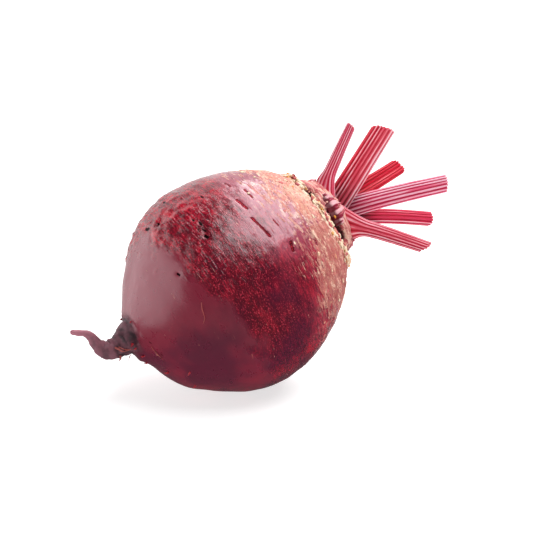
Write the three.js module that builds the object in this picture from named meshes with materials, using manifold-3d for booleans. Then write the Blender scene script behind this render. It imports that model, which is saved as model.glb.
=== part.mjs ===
// A beetroot lying on its side. The round root narrows to a thin bent taproot at one end. At the
// other end is the crown: a corky rim, the torn bases of old leaves and the cut leaf stalks.
// Millimetres, +Z up, with the crown towards +X. The origin is on the small flat spot on which
// the root rests.
//
// Everything is shaped in the root's own frame first: +Y runs along its axis to the crown, +Z is
// its upper side and +X its front. A "turn" is an angle round the axis, from +Z towards +X.

import * as THREE from "three";
import { mergeVertices } from "three/addons/utils/BufferGeometryUtils.js";
import Module from "manifold-3d";

const wasm = await Module();
wasm.setup();

// Driving dimensions, in millimetres and degrees
const crownRise = 24.4; // slope of the axis above the surface it lies on
const axisHeight = 44.9; // height of the frame's origin, halfway along the root, above the surface
const axisSet = 0.2; // how far along X that origin stands from the resting spot
const gap = 0.3; // clearance between pieces that touch

const rootSides = 56; // facets round the root
const rootRings = 64; // rings of facets from the crown to the tip of the taproot
const stalkRings = 13; // rings along a stalk
const facetsPerRib = 2; // a ridge and a furrow

const toRadians = THREE.MathUtils.degToRad;
const smooth = THREE.MathUtils.smoothstep;

// The root's outline from the middle of the crown to the tip of the taproot. Each station is
// [distance along the axis, lift of the section's centre, radius of the section].
const outline = new THREE.CatmullRomCurve3(
  [
    [47, 0.2, 0.2],
    [46.7, 0.2, 6],
    [45.9, 0.1, 10.8],
    [44.5, 0.1, 13.6],
    [42.3, 0.1, 16.1],
    [39.8, -0.1, 18],
    [35, -0.7, 23],
    [27.8, -1.5, 30.3],
    [18.5, -2.4, 36.2],
    [8, -2.9, 40.3],
    [-2, -3, 41.8],
    [-11, -2.7, 41.4],
    [-19, -2.5, 39],
    [-26.5, -2.4, 34.7],
    [-33, -3.2, 29.2],
    [-38.5, -4.1, 23.8],
    [-42.8, -3.7, 17.7],
    [-46.2, -1.7, 11.5],
    [-49.5, 0.2, 6.6],
    [-52.5, 0.2, 5],
    [-56, 0.4, 4.1],
    [-59, 1.5, 3.4],
    [-61, 4.7, 2.5],
    [-61.9, 9.2, 1.7],
    [-63.4, 11.8, 1.3],
    [-65.6, 13.6, 1.1],
    [-67.5, 15.1, 0.9],
    [-68, 15.5, 0.4],
  ].map((station) => new THREE.Vector3(...station)),
  false,
  "catmullrom",
);

// The corky rim round the crown, and the furrow between it and the leaf bases. The rim is wider
// on the side that it leans to.
const rim = { radius: 20, height: 0.8, width: 1.2, knobs: 17, lean: 3.4, leanTurn: 45 };
const furrow = { inside: 2.3, depth: 1.6, width: 1.3, knobs: 9 };

// The cut leaf stalks. foot, knee and tip shape the middle line: it leaves the foot towards the
// knee and ends in the middle of the cut. outward is the turn that the ribbed outer side faces,
// wing and half are the half widths of the foot and the stalk, taper is the share of its width
// that the stalk loses, thick is its half thickness, clasp is the radius on which the foot bends
// round the crown, and slant is how far the cut leans over half the width.
const stalks = [
  {
    foot: [5, 40.5, 10.6],
    knee: [0.7, 45.4, 12.5],
    tip: [-0.1, 66.3, 27.9],
    outward: 34,
    wing: 8.2,
    half: 2.9,
    taper: 0.5,
    thick: 1.7,
    clasp: 11,
    slant: 0.4,
  },
  {
    foot: [10.6, 41, 2],
    knee: [14.2, 49, -4],
    tip: [23.3, 66.1, -22],
    outward: 86,
    wing: 9.4,
    half: 3.1,
    taper: 0.34,
    thick: 2.2,
    clasp: 11,
    slant: 1.9,
  },
  {
    foot: [4.6, 38.5, 1],
    knee: [5, 46, 5],
    tip: [-4.1, 79.8, 17.6],
    outward: 250,
    wing: 4.6,
    half: 4.35,
    taper: 0.14,
    thick: 3.2,
    clasp: 9,
    slant: 1.5,
  },
  {
    foot: [-3.5, 41.5, -1],
    knee: [-1.5, 49, 0.6],
    tip: [16, 87.6, -7.1],
    outward: 62,
    wing: 4.6,
    half: 3.7,
    taper: 0.22,
    thick: 2.9,
    clasp: 9,
    slant: 0.4,
  },
  {
    foot: [-6.5, 41.5, 2],
    knee: [-5.5, 52, -1],
    tip: [-14.9, 84.2, -4.9],
    outward: 243,
    wing: 4.2,
    half: 3.2,
    taper: 0.14,
    thick: 2.6,
    clasp: 8,
    slant: 0.8,
  },
  {
    foot: [-4, 41.5, -5],
    knee: [-3.5, 50, -2.8],
    tip: [1.4, 81.4, -24.2],
    outward: 110,
    wing: 4.4,
    half: 2.8,
    taper: 0.1,
    thick: 2.4,
    clasp: 9,
    slant: 0.3,
  },
];
const stalkRibs = 14;
const ribDepth = 0.07; // share of the section
const wingFrom = 44; // where along the root's axis a foot starts to narrow
const wingTo = 51.5; // where it has narrowed to the stalk
const wingSweep = 2.5; // how much of that it does near the crown
const footFrom = 42; // where along the axis the sections start to turn from lying across it
const footTo = 54; // to standing across the stalk

// The torn bases of older leaves, between the stalks and the rim
const leafBases = [
  { turn: -30, seat: 15.4, level: 42.8, half: 5.6, height: 3.4 },
  { turn: 58, seat: 17.8, level: 40.8, half: 6.2, height: 3 },
  { turn: 130, seat: 15.2, level: 42, half: 6.6, height: 1.8 },
  { turn: 186, seat: 13.6, level: 44.4, half: 5.2, height: 2.2 },
  { turn: 238, seat: 13.2, level: 44.7, half: 6, height: 3 },
  { turn: 286, seat: 13.8, level: 44.2, half: 5, height: 2.4 },
];
const leafBaseThick = 1.1; // half thickness
const leafBaseDepth = 3; // how far they reach down into the crown
const leafBaseRibs = 11;

const skinColour = new THREE.Color(0.3, 0.035, 0.075);
const stalkColour = new THREE.Color(0.6, 0.05, 0.13);
const leafBaseColour = new THREE.Color(0.5, 0.18, 0.2);

// Repeatable unevenness between -1 and 1: a sum of waves, each with its own whole number of
// rounds about the axis and its own pitch along it.
function waves(turn, along, rounds, pitch, seed) {
  const count = 5;
  let sum = 0;
  for (let i = 1; i <= count; i++) {
    const first = (i * 0.618 + seed * 0.414) % 1;
    const second = (i * 0.755 + seed * 0.57) % 1;
    const times = Math.round(rounds * (0.5 + first));
    const slope = (2 * Math.PI) / (pitch * (0.6 + 0.8 * second));
    sum += Math.cos(times * turn + (i % 2 ? slope : -slope) * along + 2 * Math.PI * second);
  }
  return sum / count;
}

const bump = (x, middle, width) => Math.exp(-(((x - middle) / width) ** 2));

// How far the root's skin stands out from its plain outline
function rootRelief(turn, { x: along, z: radius }) {
  const crown = smooth(along, 29, 32);
  const shoulder = smooth(along, 2, 34);
  const tail = 1 - smooth(along, -46, -40);
  const lumps = 0.45 * (0.35 + shoulder) * (1 - tail) * waves(turn, along, 5, 9, 1);
  const cork = 0.35 * shoulder * waves(turn, along, 19, 4.5, 2);
  const wrinkles = 0.06 * radius * tail * waves(turn, along, 3, 3.2, 3);
  const rimKnobs = 0.75 + 0.5 * waves(turn, 0, rim.knobs, 50, 4);
  const furrowKnobs = 0.8 + 0.4 * waves(turn, 0, furrow.knobs, 50, 5);
  const rimRadius = rim.radius + rim.lean * Math.cos(turn - toRadians(rim.leanTurn));
  const rimHeight = rim.height * rimKnobs * bump(radius, rimRadius, rim.width);
  const furrowDepth = furrow.depth * furrowKnobs * bump(radius, rimRadius - furrow.inside, furrow.width);
  const scars = 0.4 * (1 - smooth(radius, 11, 14)) * waves(turn, radius, 5, 5, 6);
  return lumps + cork + wrinkles + crown * (rimHeight - furrowDepth + scars);
}

// A point of the root's skin. The sections stand square to the axis, and turn with the taproot.
function rootPoint(u, turn, grow) {
  const station = outline.getPoint(u);
  const step = outline.getPoint(Math.min(u + 0.001, 1)).sub(outline.getPoint(Math.max(u - 0.001, 0)));
  const bend = Math.atan2(step.y, -step.x) * (1 - smooth(station.x, -54, -45));
  const slope = Math.hypot(step.x, step.z);
  const out = rootRelief(turn, station) + grow;
  const lobes = 1 + 0.012 * Math.cos(2 * turn - 0.7) + 0.01 * Math.cos(3 * turn + 1.9);
  const radius = Math.max(station.z * lobes - (out * step.x) / slope, 0.15);
  const along = (out * step.z) / slope;
  const lift = radius * Math.cos(turn);
  return new THREE.Vector3(
    radius * Math.sin(turn),
    station.x + along * Math.cos(bend) + lift * Math.sin(bend),
    station.y - along * Math.sin(bend) + lift * Math.cos(bend),
  );
}

// A closed solid skinned over rings of points, with each end closed by a fan
function skin(rings) {
  const sides = rings[0].length;
  const points = rings.flat();
  const faces = [];
  for (let i = 0; i + 1 < rings.length; i++) {
    for (let j = 0; j < sides; j++) {
      const next = (j + 1) % sides;
      const [a, b] = [i * sides + j, i * sides + next];
      faces.push(a, b, b + sides, a, b + sides, a + sides);
    }
  }
  for (const [ring, first, turned] of [
    [rings[0], 0, true],
    [rings.at(-1), points.length - sides, false],
  ]) {
    const middle = points.length;
    points.push(ring.reduce((sum, p) => sum.add(p), new THREE.Vector3()).divideScalar(sides));
    for (let j = 0; j < sides; j++) {
      const pair = [first + j, first + ((j + 1) % sides)];
      faces.push(...(turned ? pair.reverse() : pair), middle);
    }
  }
  return solid(new THREE.BufferGeometry().setFromPoints(points).setIndex(faces));
}

// A three.js geometry as a solid for cutting and joining
function solid(geometry) {
  const bare = new THREE.BufferGeometry();
  bare.setAttribute("position", geometry.getAttribute("position"));
  bare.setIndex(geometry.index);
  const merged = mergeVertices(bare, 1e-4);
  return new wasm.Manifold(
    new wasm.Mesh({
      numProp: 3,
      vertProperties: merged.attributes.position.array,
      triVerts: new Uint32Array(merged.index.array),
    }),
  );
}

// The largest body of a cut solid, as a three.js geometry
function geometryOf(cut) {
  const largest = cut.decompose().sort((a, b) => b.volume() - a.volume())[0];
  const mesh = largest.getMesh();
  return new THREE.BufferGeometry()
    .setAttribute("position", new THREE.BufferAttribute(mesh.vertProperties, 3))
    .setIndex(new THREE.BufferAttribute(mesh.triVerts, 1));
}

function piece(name, cut, colour, roughness) {
  const material = new THREE.MeshStandardMaterial({ color: colour, roughness, metalness: 0 });
  const mesh = new THREE.Mesh(geometryOf(cut), material);
  mesh.name = name;
  return mesh;
}

function makeRoot(grow = 0) {
  const rings = Array.from({ length: rootRings + 1 }, (_, i) =>
    Array.from({ length: rootSides }, (_, j) =>
      rootPoint(1 - i / rootRings, (2 * Math.PI * j) / rootSides, grow),
    ),
  );
  return skin(rings);
}

// The direction away from the axis at a turn
const away = (turn) => new THREE.Vector3(Math.sin(toRadians(turn)), 0, Math.cos(toRadians(turn)));

// A ribbed section: an oval whose inner side is hollowed to a channel, bent round the axis
function ribbedSection({ across, outwards, centre, half, thick, bend, channel, ribs, deep }) {
  return Array.from({ length: ribs * facetsPerRib }, (_, j) => {
    const angle = (2 * Math.PI * j) / (ribs * facetsPerRib);
    const rib = 1 + deep * Math.cos(ribs * angle);
    const x = half * rib * Math.cos(angle);
    const hollow = Math.sin(angle) < 0 ? 1 - channel * bump(x, 0, 0.5 * half) : 1;
    const y = thick * rib * hollow * Math.sin(angle) - bend * x * x;
    return centre.clone().addScaledVector(across, x).addScaledVector(outwards, y);
  });
}

// A leaf stalk: its foot clasps the crown, and narrows to the ribbed stalk
function makeStalk(stalk, grow = 0) {
  const { foot, knee, tip, outward, wing, half, taper, thick, clasp, slant } = stalk;
  const line = new THREE.QuadraticBezierCurve3(
    new THREE.Vector3(...foot),
    new THREE.Vector3(...knee),
    new THREE.Vector3(...tip),
  );
  const rings = Array.from({ length: stalkRings + 1 }, (_, i) => {
    const t = i / stalkRings;
    const centre = line.getPoint(t);
    const ahead = new THREE.Vector3(0, 1, 0)
      .lerp(line.getTangent(t), smooth(centre.y, footFrom, footTo))
      .normalize();
    const across = new THREE.Vector3().crossVectors(away(outward), ahead).normalize();
    const outwards = new THREE.Vector3().crossVectors(ahead, across);
    const risen = THREE.MathUtils.clamp((centre.y - wingFrom) / (wingTo - wingFrom), 0, 1);
    const narrowed = 1 - (1 - risen) ** wingSweep;
    const width = THREE.MathUtils.lerp(wing, half * (1.1 - taper * t), narrowed) + grow;
    const ring = ribbedSection({
      across,
      outwards,
      centre,
      half: width,
      thick: thick * THREE.MathUtils.lerp(0.55, 1.08 - 0.1 * t, narrowed) + grow,
      bend: THREE.MathUtils.lerp(0.5 / clasp, 0.02, narrowed),
      channel: 0.55 * narrowed,
      ribs: stalkRibs,
      deep: ribDepth,
    });
    const lean = i === stalkRings ? slant / width : 0;
    return ring.map((p) => p.addScaledVector(ahead, lean * p.clone().sub(centre).dot(across)));
  });
  return skin(rings);
}

// The torn base of an old leaf: a low ribbed crescent with a ragged upper edge
function makeLeafBase({ turn, seat, level, half, height }, grow = 0) {
  const outwards = away(turn);
  const ahead = new THREE.Vector3(0, 1, 0);
  const across = new THREE.Vector3().crossVectors(outwards, ahead).normalize();
  const heights = [-leafBaseDepth, -0.4, 0.5 * height, height];
  const rings = heights.map((above, i) => {
    const top = i === heights.length - 1;
    const ring = ribbedSection({
      across,
      outwards,
      centre: outwards.clone().multiplyScalar(seat - 0.3 * i).setY(level + above),
      half: half * (top ? 0.8 : 1) + grow,
      thick: leafBaseThick * (top ? 0.6 : 1) + grow,
      bend: 0.5 / seat,
      channel: 0,
      ribs: leafBaseRibs,
      deep: 0.1,
    });
    return ring.map((p, j) => (top ? p.addScaledVector(ahead, 0.7 * waves(j, 0, 3, 50, turn)) : p));
  });
  return skin(rings);
}

// The half space below the surface that the beetroot rests on, as a block in the root's frame
function makeSurface(group) {
  const block = new THREE.BoxGeometry(200, 200, 50).translate(0, 0, -25);
  return solid(block.applyMatrix4(group.matrix.clone().invert()));
}

// Leaning group: the root's own frame laid on its side
const beetroot = new THREE.Group();
const rise = toRadians(crownRise);
beetroot.matrix.makeBasis(
  new THREE.Vector3(0, -1, 0),
  new THREE.Vector3(Math.cos(rise), 0, Math.sin(rise)),
  new THREE.Vector3(-Math.sin(rise), 0, Math.cos(rise)),
);
beetroot.matrix.setPosition(axisSet, 0, axisHeight);
beetroot.matrix.decompose(beetroot.position, beetroot.quaternion, beetroot.scale);

beetroot.add(piece("root", makeRoot().subtract(makeSurface(beetroot)), skinColour, 0.4));

// Each stalk and torn leaf base is cut clear of the crown and of the pieces made before it
let taken = makeRoot(gap);
stalks.forEach((stalk, i) => {
  beetroot.add(piece(`leaf_stalk_${i + 1}`, makeStalk(stalk).subtract(taken), stalkColour, 0.45));
  taken = taken.add(makeStalk(stalk, gap));
});
leafBases.forEach((leafBase, i) => {
  const torn = makeLeafBase(leafBase).subtract(taken);
  beetroot.add(piece(`old_leaf_base_${i + 1}`, torn, leafBaseColour, 0.7));
  taken = taken.add(makeLeafBase(leafBase, gap));
});

export default beetroot;
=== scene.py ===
import bpy
import numpy as np
from mathutils import Matrix, Vector


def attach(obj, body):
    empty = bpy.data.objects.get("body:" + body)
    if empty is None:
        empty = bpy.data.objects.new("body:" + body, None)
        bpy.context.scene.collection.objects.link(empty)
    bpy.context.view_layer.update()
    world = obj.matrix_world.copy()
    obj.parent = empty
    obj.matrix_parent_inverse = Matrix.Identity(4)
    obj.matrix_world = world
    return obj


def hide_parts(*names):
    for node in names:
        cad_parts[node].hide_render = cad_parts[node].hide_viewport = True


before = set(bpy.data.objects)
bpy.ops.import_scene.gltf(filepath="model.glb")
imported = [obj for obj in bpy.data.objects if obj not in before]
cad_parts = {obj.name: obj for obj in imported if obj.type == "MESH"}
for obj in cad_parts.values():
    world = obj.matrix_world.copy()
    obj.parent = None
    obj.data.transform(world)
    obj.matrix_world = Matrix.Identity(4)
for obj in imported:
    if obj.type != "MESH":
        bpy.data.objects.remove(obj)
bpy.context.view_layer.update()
print("frame loaded")

# Lengths are millimetres until a mesh is made. A turn is an angle round the root's axis, from its
# upper side towards its front, and "along" is the place on that axis, growing towards the crown.
rootFrame = {"crownRise": 24.4, "axisHeight": 44.9, "axisSet": 0.2}

rise = np.radians(rootFrame["crownRise"])
rootAxes = np.array(
    [[0, -1, 0], [np.cos(rise), 0, np.sin(rise)], [-np.sin(rise), 0, np.cos(rise)]]
)


def toModel(points):
    # front, along and up of the root, each times its direction, plus the place of its middle
    return points @ rootAxes + np.array([rootFrame["axisSet"], 0, rootFrame["axisHeight"]])


def smooth(x, low, high):
    # 3t² - 2t³ of the share t of the way from low to high
    t = np.clip((x - low) / (high - low), 0, 1)
    return t * t * (3 - 2 * t)


def bell(x, middle, width):
    # e to the power of minus the squared distance from the middle, counted in widths
    return np.exp(-(((x - middle) / width) ** 2))


def lerp(first, second, share):
    # first plus the share of the difference
    return first + (second - first) * share


def waves(turn, along, rounds, pitch, seed):
    # mean of five cosines, each with its own whole number of rounds and its own pitch
    total = 0
    for i in range(1, 6):
        first = (i * 0.618 + seed * 0.414) % 1
        second = (i * 0.755 + seed * 0.57) % 1
        slope = 2 * np.pi / (pitch * (0.6 + 0.8 * second)) * (1 if i % 2 else -1)
        times = np.floor(rounds * (0.5 + first) + 0.5)
        total = total + np.cos(times * turn + slope * along + 2 * np.pi * second)
    return total / 5


def softNoise(points, seed, octaves=3):
    # random values on a lattice, blended with 3t² - 2t³; each octave is twice as fine as the one
    # before and half as strong
    table = np.random.default_rng(seed).uniform(-1, 1, 8192)
    total, strength = 0, 1
    for octave in range(octaves):
        cell = np.floor(points).astype(np.int64)
        t = points - cell
        t = t * t * (3 - 2 * t)
        for corner in np.ndindex(2, 2, 2):
            near = cell + np.array(corner)
            key = (near[..., 0] * 73856093) ^ (near[..., 1] * 19349663) ^ (near[..., 2] * 83492791)
            weight = np.where(np.array(corner), t, 1 - t).prod(-1)
            total = total + strength * weight * table[key % 8192]
        points = points * 2.03 + 17.3
        strength *= 0.5
    return total


def across(u, v):
    # cross product scaled to length one
    product = np.cross(u, v)
    return product / np.linalg.norm(product, axis=-1, keepdims=True)


# Meshes


def buildMesh(name, points, faceSets, masks):
    # points in millimetres of the model's frame, faces as arrays of equal-sided corners
    mesh = bpy.data.meshes.new(name)
    mesh.vertices.add(len(points))
    mesh.vertices.foreach_set("co", (points * 0.001).ravel())
    corners = np.concatenate([faces.ravel() for faces in faceSets])
    sizes = np.concatenate([np.full(len(faces), faces.shape[1]) for faces in faceSets])
    mesh.loops.add(len(corners))
    mesh.loops.foreach_set("vertex_index", corners)
    mesh.polygons.add(len(sizes))
    mesh.polygons.foreach_set("loop_start", np.cumsum(sizes) - sizes)
    mesh.update(calc_edges=True)
    mesh.shade_smooth()
    for mask, values in masks.items():
        vector = values.ndim > 1
        layer = mesh.attributes.new(mask, "FLOAT_VECTOR" if vector else "FLOAT", "POINT")
        layer.data.foreach_set("vector" if vector else "value", values.astype(np.float32).ravel())
    return mesh


def showPiece(mesh, material, node=None):
    mesh.materials.append(material)
    piece = bpy.data.objects.new(mesh.name, mesh)
    bpy.context.collection.objects.link(piece)
    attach(piece, "root")
    if node:
        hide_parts(node)
    return piece


def ringFaces(count, sides, first=0):
    # quads between neighbouring rings, and a fan at each end round an added middle point
    i, j = np.meshgrid(np.arange(count - 1), np.arange(sides), indexing="ij")
    a, b = first + i * sides + j, first + i * sides + (j + 1) % sides
    quads = np.stack([a, b, b + sides, a + sides], -1).reshape(-1, 4)
    j = np.arange(sides)
    last, middle = first + (count - 1) * sides, first + count * sides
    start = np.stack([first + (j + 1) % sides, first + j, np.full(sides, middle)], -1)
    end = np.stack([last + j, last + (j + 1) % sides, np.full(sides, middle + 1)], -1)
    return [quads, start, end]


def withMiddles(rings):
    # the rings' points in order, then the mean of the first ring and of the last one
    flat = rings.reshape(-1, *rings.shape[2:])
    return np.concatenate([flat, rings[:1].mean(1), rings[-1:].mean(1)])


def skinRings(name, rings, masks):
    # one closed skin over rings of points that run round counterclockwise as seen from ahead
    masks = {mask: withMiddles(values) for mask, values in masks.items()}
    return buildMesh(name, withMiddles(rings), ringFaces(*rings.shape[:2]), masks)


# Materials


class Wire:
    # a socket that can be added, taken away, multiplied and raised: each adds a Math node
    def __init__(self, paint, socket):
        self.paint, self.socket = paint, socket

    def __add__(self, other):
        return self.paint.maths("ADD", self, other)

    def __mul__(self, other):
        return self.paint.maths("MULTIPLY", self, other)

    def __sub__(self, other):
        return self.paint.maths("SUBTRACT", self, other)

    def __rsub__(self, other):
        return self.paint.maths("SUBTRACT", other, self)

    def __pow__(self, other):
        return self.paint.maths("POWER", self, other)

    __radd__, __rmul__ = __add__, __mul__


class Paint:
    # a material and the nodes that colour it
    def __init__(self, name):
        self.material = bpy.data.materials.new(name)
        self.material.use_nodes = True
        self.tree = self.material.node_tree
        self.tree.nodes.clear()

    def node(self, kind, settings=None, values=(), out=0):
        made = self.tree.nodes.new(kind)
        for setting, value in (settings or {}).items():
            setattr(made, setting, value)
        for place, value in values.items() if isinstance(values, dict) else enumerate(values):
            if isinstance(value, Wire):
                self.tree.links.new(value.socket, made.inputs[place])
            else:
                made.inputs[place].default_value = value
        return Wire(self, made.outputs[out] if made.outputs else None)

    def maths(self, operation, first, second):
        return self.node("ShaderNodeMath", {"operation": operation}, [first, second])

    def number(self, value):
        # a colour's brightness as a number
        return self.maths("ADD", value, 0.0)

    def vectorMaths(self, operation, values, out="Vector"):
        return self.node("ShaderNodeVectorMath", {"operation": operation}, values, out)

    def awayFrom(self, place, start, end):
        # distance from the straight stretch between two points
        way = [float(e - s) for s, e in zip(start, end)]
        length = sum(w * w for w in way)
        rest = self.vectorMaths("SUBTRACT", [place, tuple(start)])
        share = self.vectorMaths("DOT_PRODUCT", [rest, tuple(w / length for w in way)], "Value")
        share = self.node("ShaderNodeClamp", {}, [share, 0.0, 1.0])
        along = self.vectorMaths("SCALE", {0: tuple(way), "Scale": share})
        nearest = self.vectorMaths("ADD", [along, tuple(start)])
        return self.vectorMaths("DISTANCE", [place, nearest], "Value")

    def mask(self, name):
        return self.node("ShaderNodeAttribute", {"attribute_name": name}, out="Fac")

    def vector(self, name):
        return self.node("ShaderNodeAttribute", {"attribute_name": name}, out="Vector")

    def objectPlace(self):
        return self.node("ShaderNodeTexCoord", out="Object")

    def stretch(self, vector, factors):
        return self.vectorMaths("MULTIPLY", [vector, factors])

    def noise(self, vector, scale=1.0, detail=2.0, roughness=0.5, distortion=0.0):
        values = {"Vector": vector, "Scale": scale, "Detail": detail}
        values.update({"Roughness": roughness, "Distortion": distortion})
        return self.node("ShaderNodeTexNoise", {}, values)

    def streaks(self, circle, roundWay, alongWay, detail, roughness=0.5, distortion=0.0):
        # noise that is as many times finer round the axis and along it
        place = self.stretch(circle, (roundWay, roundWay, alongWay))
        return self.noise(place, 1, detail, roughness, distortion)

    def noiseVector(self, vector, scale):
        # three noises at once, one for each direction
        return self.node("ShaderNodeTexNoise", {}, {"Vector": vector, "Scale": scale}, "Color")

    def cellEdge(self, vector):
        # distance to the nearest border between cells
        settings = {"feature": "DISTANCE_TO_EDGE"}
        return self.node("ShaderNodeTexVoronoi", settings, {"Vector": vector, "Scale": 1.0})

    def cellTone(self, vector):
        # a random number for each cell
        cells = {"Vector": vector, "Scale": 1.0}
        return self.number(self.node("ShaderNodeTexVoronoi", {}, cells, "Color"))

    def step(self, value, low, high):
        # 0 below low, 1 above high and 3t² - 2t³ between
        settings = {"interpolation_type": "SMOOTHSTEP"}
        return self.node("ShaderNodeMapRange", settings, [value, low, high, 0.0, 1.0])

    def mix(self, share, first, second):
        return self.node("ShaderNodeMix", {"data_type": "RGBA"}, {0: share, 6: first, 7: second}, 2)

    def coat(self, share, tone):
        # the tone laid over the material's colour by a share
        self.colour = self.mix(share, self.colour, tone)

    def bump(self, height, distance, strength=1.0):
        values = {"Height": height, "Distance": distance, "Strength": strength}
        return self.node("ShaderNodeBump", {}, values)

    def finish(self, roughness, normal, **fixed):
        values = {"Base Color": self.colour, "Roughness": roughness, "Normal": normal}
        values.update({name.replace("_", " "): value for name, value in fixed.items()})
        shader = self.node("ShaderNodeBsdfPrincipled", {}, values)
        self.node("ShaderNodeOutputMaterial", {}, [shader])
        return self.material


def ink(red, green, blue):
    # a screen colour of 0 to 255 made linear: ((c + 0.055) / 1.055) to the power 2.4
    screen = np.array([red, green, blue]) / 255
    linear = np.where(screen < 0.04045, screen / 12.92, ((screen + 0.055) / 1.055) ** 2.4)
    return (*linear.tolist(), 1.0)


# The root: its outline and the relief that stands out from it

# distance along the axis, lift of the section's centre and radius, from the crown to the tip
outline = np.array([
    (47, 0.2, 0.2), (46.7, 0.2, 6), (45.9, 0.1, 10.8), (44.5, 0.1, 13.6), (42.3, 0.1, 16.1),
    (39.8, -0.1, 18), (35, -0.7, 23), (27.8, -1.5, 30.3), (18.5, -2.4, 36.2), (8, -2.9, 40.3),
    (-2, -3, 41.8), (-11, -2.7, 41.4), (-19, -2.5, 39), (-26.5, -2.4, 34.7), (-33, -3.2, 29.2),
    (-38.5, -4.1, 23.8), (-42.8, -3.7, 17.7), (-46.2, -1.7, 11.5), (-49.5, 0.2, 6.6),
    (-52.5, 0.2, 5), (-56, 0.4, 4.1), (-59, 1.5, 3.4), (-61, 4.7, 2.5), (-61.9, 9.2, 1.7),
    (-63.4, 11.8, 1.3), (-65.6, 13.6, 1.1), (-67.5, 15.1, 0.9), (-68, 15.5, 0.4),
])  # fmt: skip


def curveThrough(knots, place):
    # uniform Catmull-Rom curve: half of 2b + (c - a)t + (2a - 5b + 4c - d)t² + (3b - a - 3c + d)t³
    ends = [2 * knots[:1] - knots[1:2], knots, 2 * knots[-1:] - knots[-2:-1]]
    padded = np.concatenate(ends)
    i = np.minimum(place.astype(int), len(knots) - 2)
    t = (place - i)[..., None]
    a, b, c, d = (padded[i + k] for k in range(4))
    cubic = (2 * a - 5 * b + 4 * c - d) * t**2 + (3 * b - a - 3 * c + d) * t**3
    return 0.5 * (2 * b + (c - a) * t + cubic)


def outlineAt(u):
    # the curve through the outline's points at the share u of the way from the crown to the tip
    return curveThrough(outline, np.clip(u, 0, 1) * (len(outline) - 1))


uTable = np.linspace(0, 1, 6001)
stationTable = outlineAt(uTable)
stepTable = np.linalg.norm(np.diff(stationTable, axis=0), axis=1)
reachTable = np.concatenate([[0], np.cumsum(stepTable)])  # length of the outline from the crown


def reachOf(along):
    # length of the outline from the crown's middle to a place along the axis
    return np.interp(-np.asarray(along), -stationTable[:5200, 0], reachTable[:5200])


rim = {
    "radius": 20,
    "height": 0.8,
    "width": 1.2,
    "knobs": 17,
    "lean": 3.4,
    "leanTurn": 45,
    "gapTurn": 1.4,  # where the rim is low, in radians
    "gapWide": 0.32,
}
furrow = {"inside": 2.3, "depth": 1.6, "width": 1.3, "knobs": 9}


def rimRadius(turn):
    # the rim is a circle pushed towards its lean
    return rim["radius"] + rim["lean"] * np.cos(turn - np.radians(rim["leanTurn"]))


def rootRelief(turn, along, radius):
    # lumps, cork, wrinkles, the rim, the furrow inside it and the scars
    crown, shoulder = smooth(along, 29, 32), smooth(along, 2, 34)
    tail = 1 - smooth(along, -50, -45)
    lumps = 0.24 * (0.35 + shoulder) * (1 - tail) * waves(turn, along, 5, 9, 1)
    cork = 0.3 * smooth(along, 14, 34) * waves(turn, along, 19, 4.5, 2)
    wrinkles = 0.06 * radius * tail * waves(turn, along, 3, 3.2, 3)
    gap = bell((turn - rim["gapTurn"] + np.pi) % (2 * np.pi) - np.pi, 0, rim["gapWide"])
    crest = bell(radius, rimRadius(turn), rim["width"]) * (1 - 0.8 * gap)
    ditch = bell(radius, rimRadius(turn) - furrow["inside"], furrow["width"]) * (1 + gap)
    rimHeight = rim["height"] * (0.75 + 0.5 * waves(turn, 0, rim["knobs"], 50, 4)) * crest
    furrowDepth = furrow["depth"] * (0.8 + 0.4 * waves(turn, 0, furrow["knobs"], 50, 5)) * ditch
    scars = 0.4 * (1 - smooth(radius, 11, 14)) * waves(turn, radius, 5, 5, 6)
    return lumps + cork + wrinkles + crown * (rimHeight - furrowDepth + scars)


def rootPoint(turn, u, relief):
    # a section square to the axis, turned with the taproot, its points moved out by the relief
    station = outlineAt(u)
    step = outlineAt(np.minimum(u + 0.001, 1)) - outlineAt(np.maximum(u - 0.001, 0))
    bend = np.arctan2(step[..., 1], -step[..., 0]) * (1 - smooth(station[..., 0], -54, -45))
    slope = np.hypot(step[..., 0], step[..., 2])
    lobes = 1 + 0.012 * np.cos(2 * turn - 0.7) + 0.01 * np.cos(3 * turn + 1.9)
    radius = np.maximum(station[..., 2] * lobes - relief * step[..., 0] / slope, 0.15)
    along = relief * step[..., 2] / slope
    lift = radius * np.cos(turn)
    front = radius * np.sin(turn)
    ahead = station[..., 0] + along * np.cos(bend) + lift * np.sin(bend)
    up = station[..., 1] - along * np.sin(bend) + lift * np.cos(bend)
    return np.stack([front, ahead, up], -1)


rootSkin = {
    "sides": 352,
    "rings": 272,
    "ringPlaces": (-68, -50, -44, 20, 33, 47),  # along the axis, for the densities below
    "ringDensities": (1.5, 1.5, 1, 1, 1.7, 1.4),
    "streakLong": 3.4,  # of a raised streak, round the axis
    "streakWide": 0.9,
    "streakHeight": 0.11,
    "pebbleSize": 2.6,
    "pebbleHeight": 0.4,
    "corkSize": 1.3,
    "corkHeight": 0.3,
    "crustSize": 1.6,
    "crustHeight": 0.8,
    "islandHeight": 0.16,
    "foldHeight": 0.17,
    "patternRadius": 40,  # of the cylinder that the patterns are drawn on
    "markStrengths": {"scratches": 0.45, "pits": 0.8, "holes": 1, "cavities": 1, "knobs": 1},
}

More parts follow.
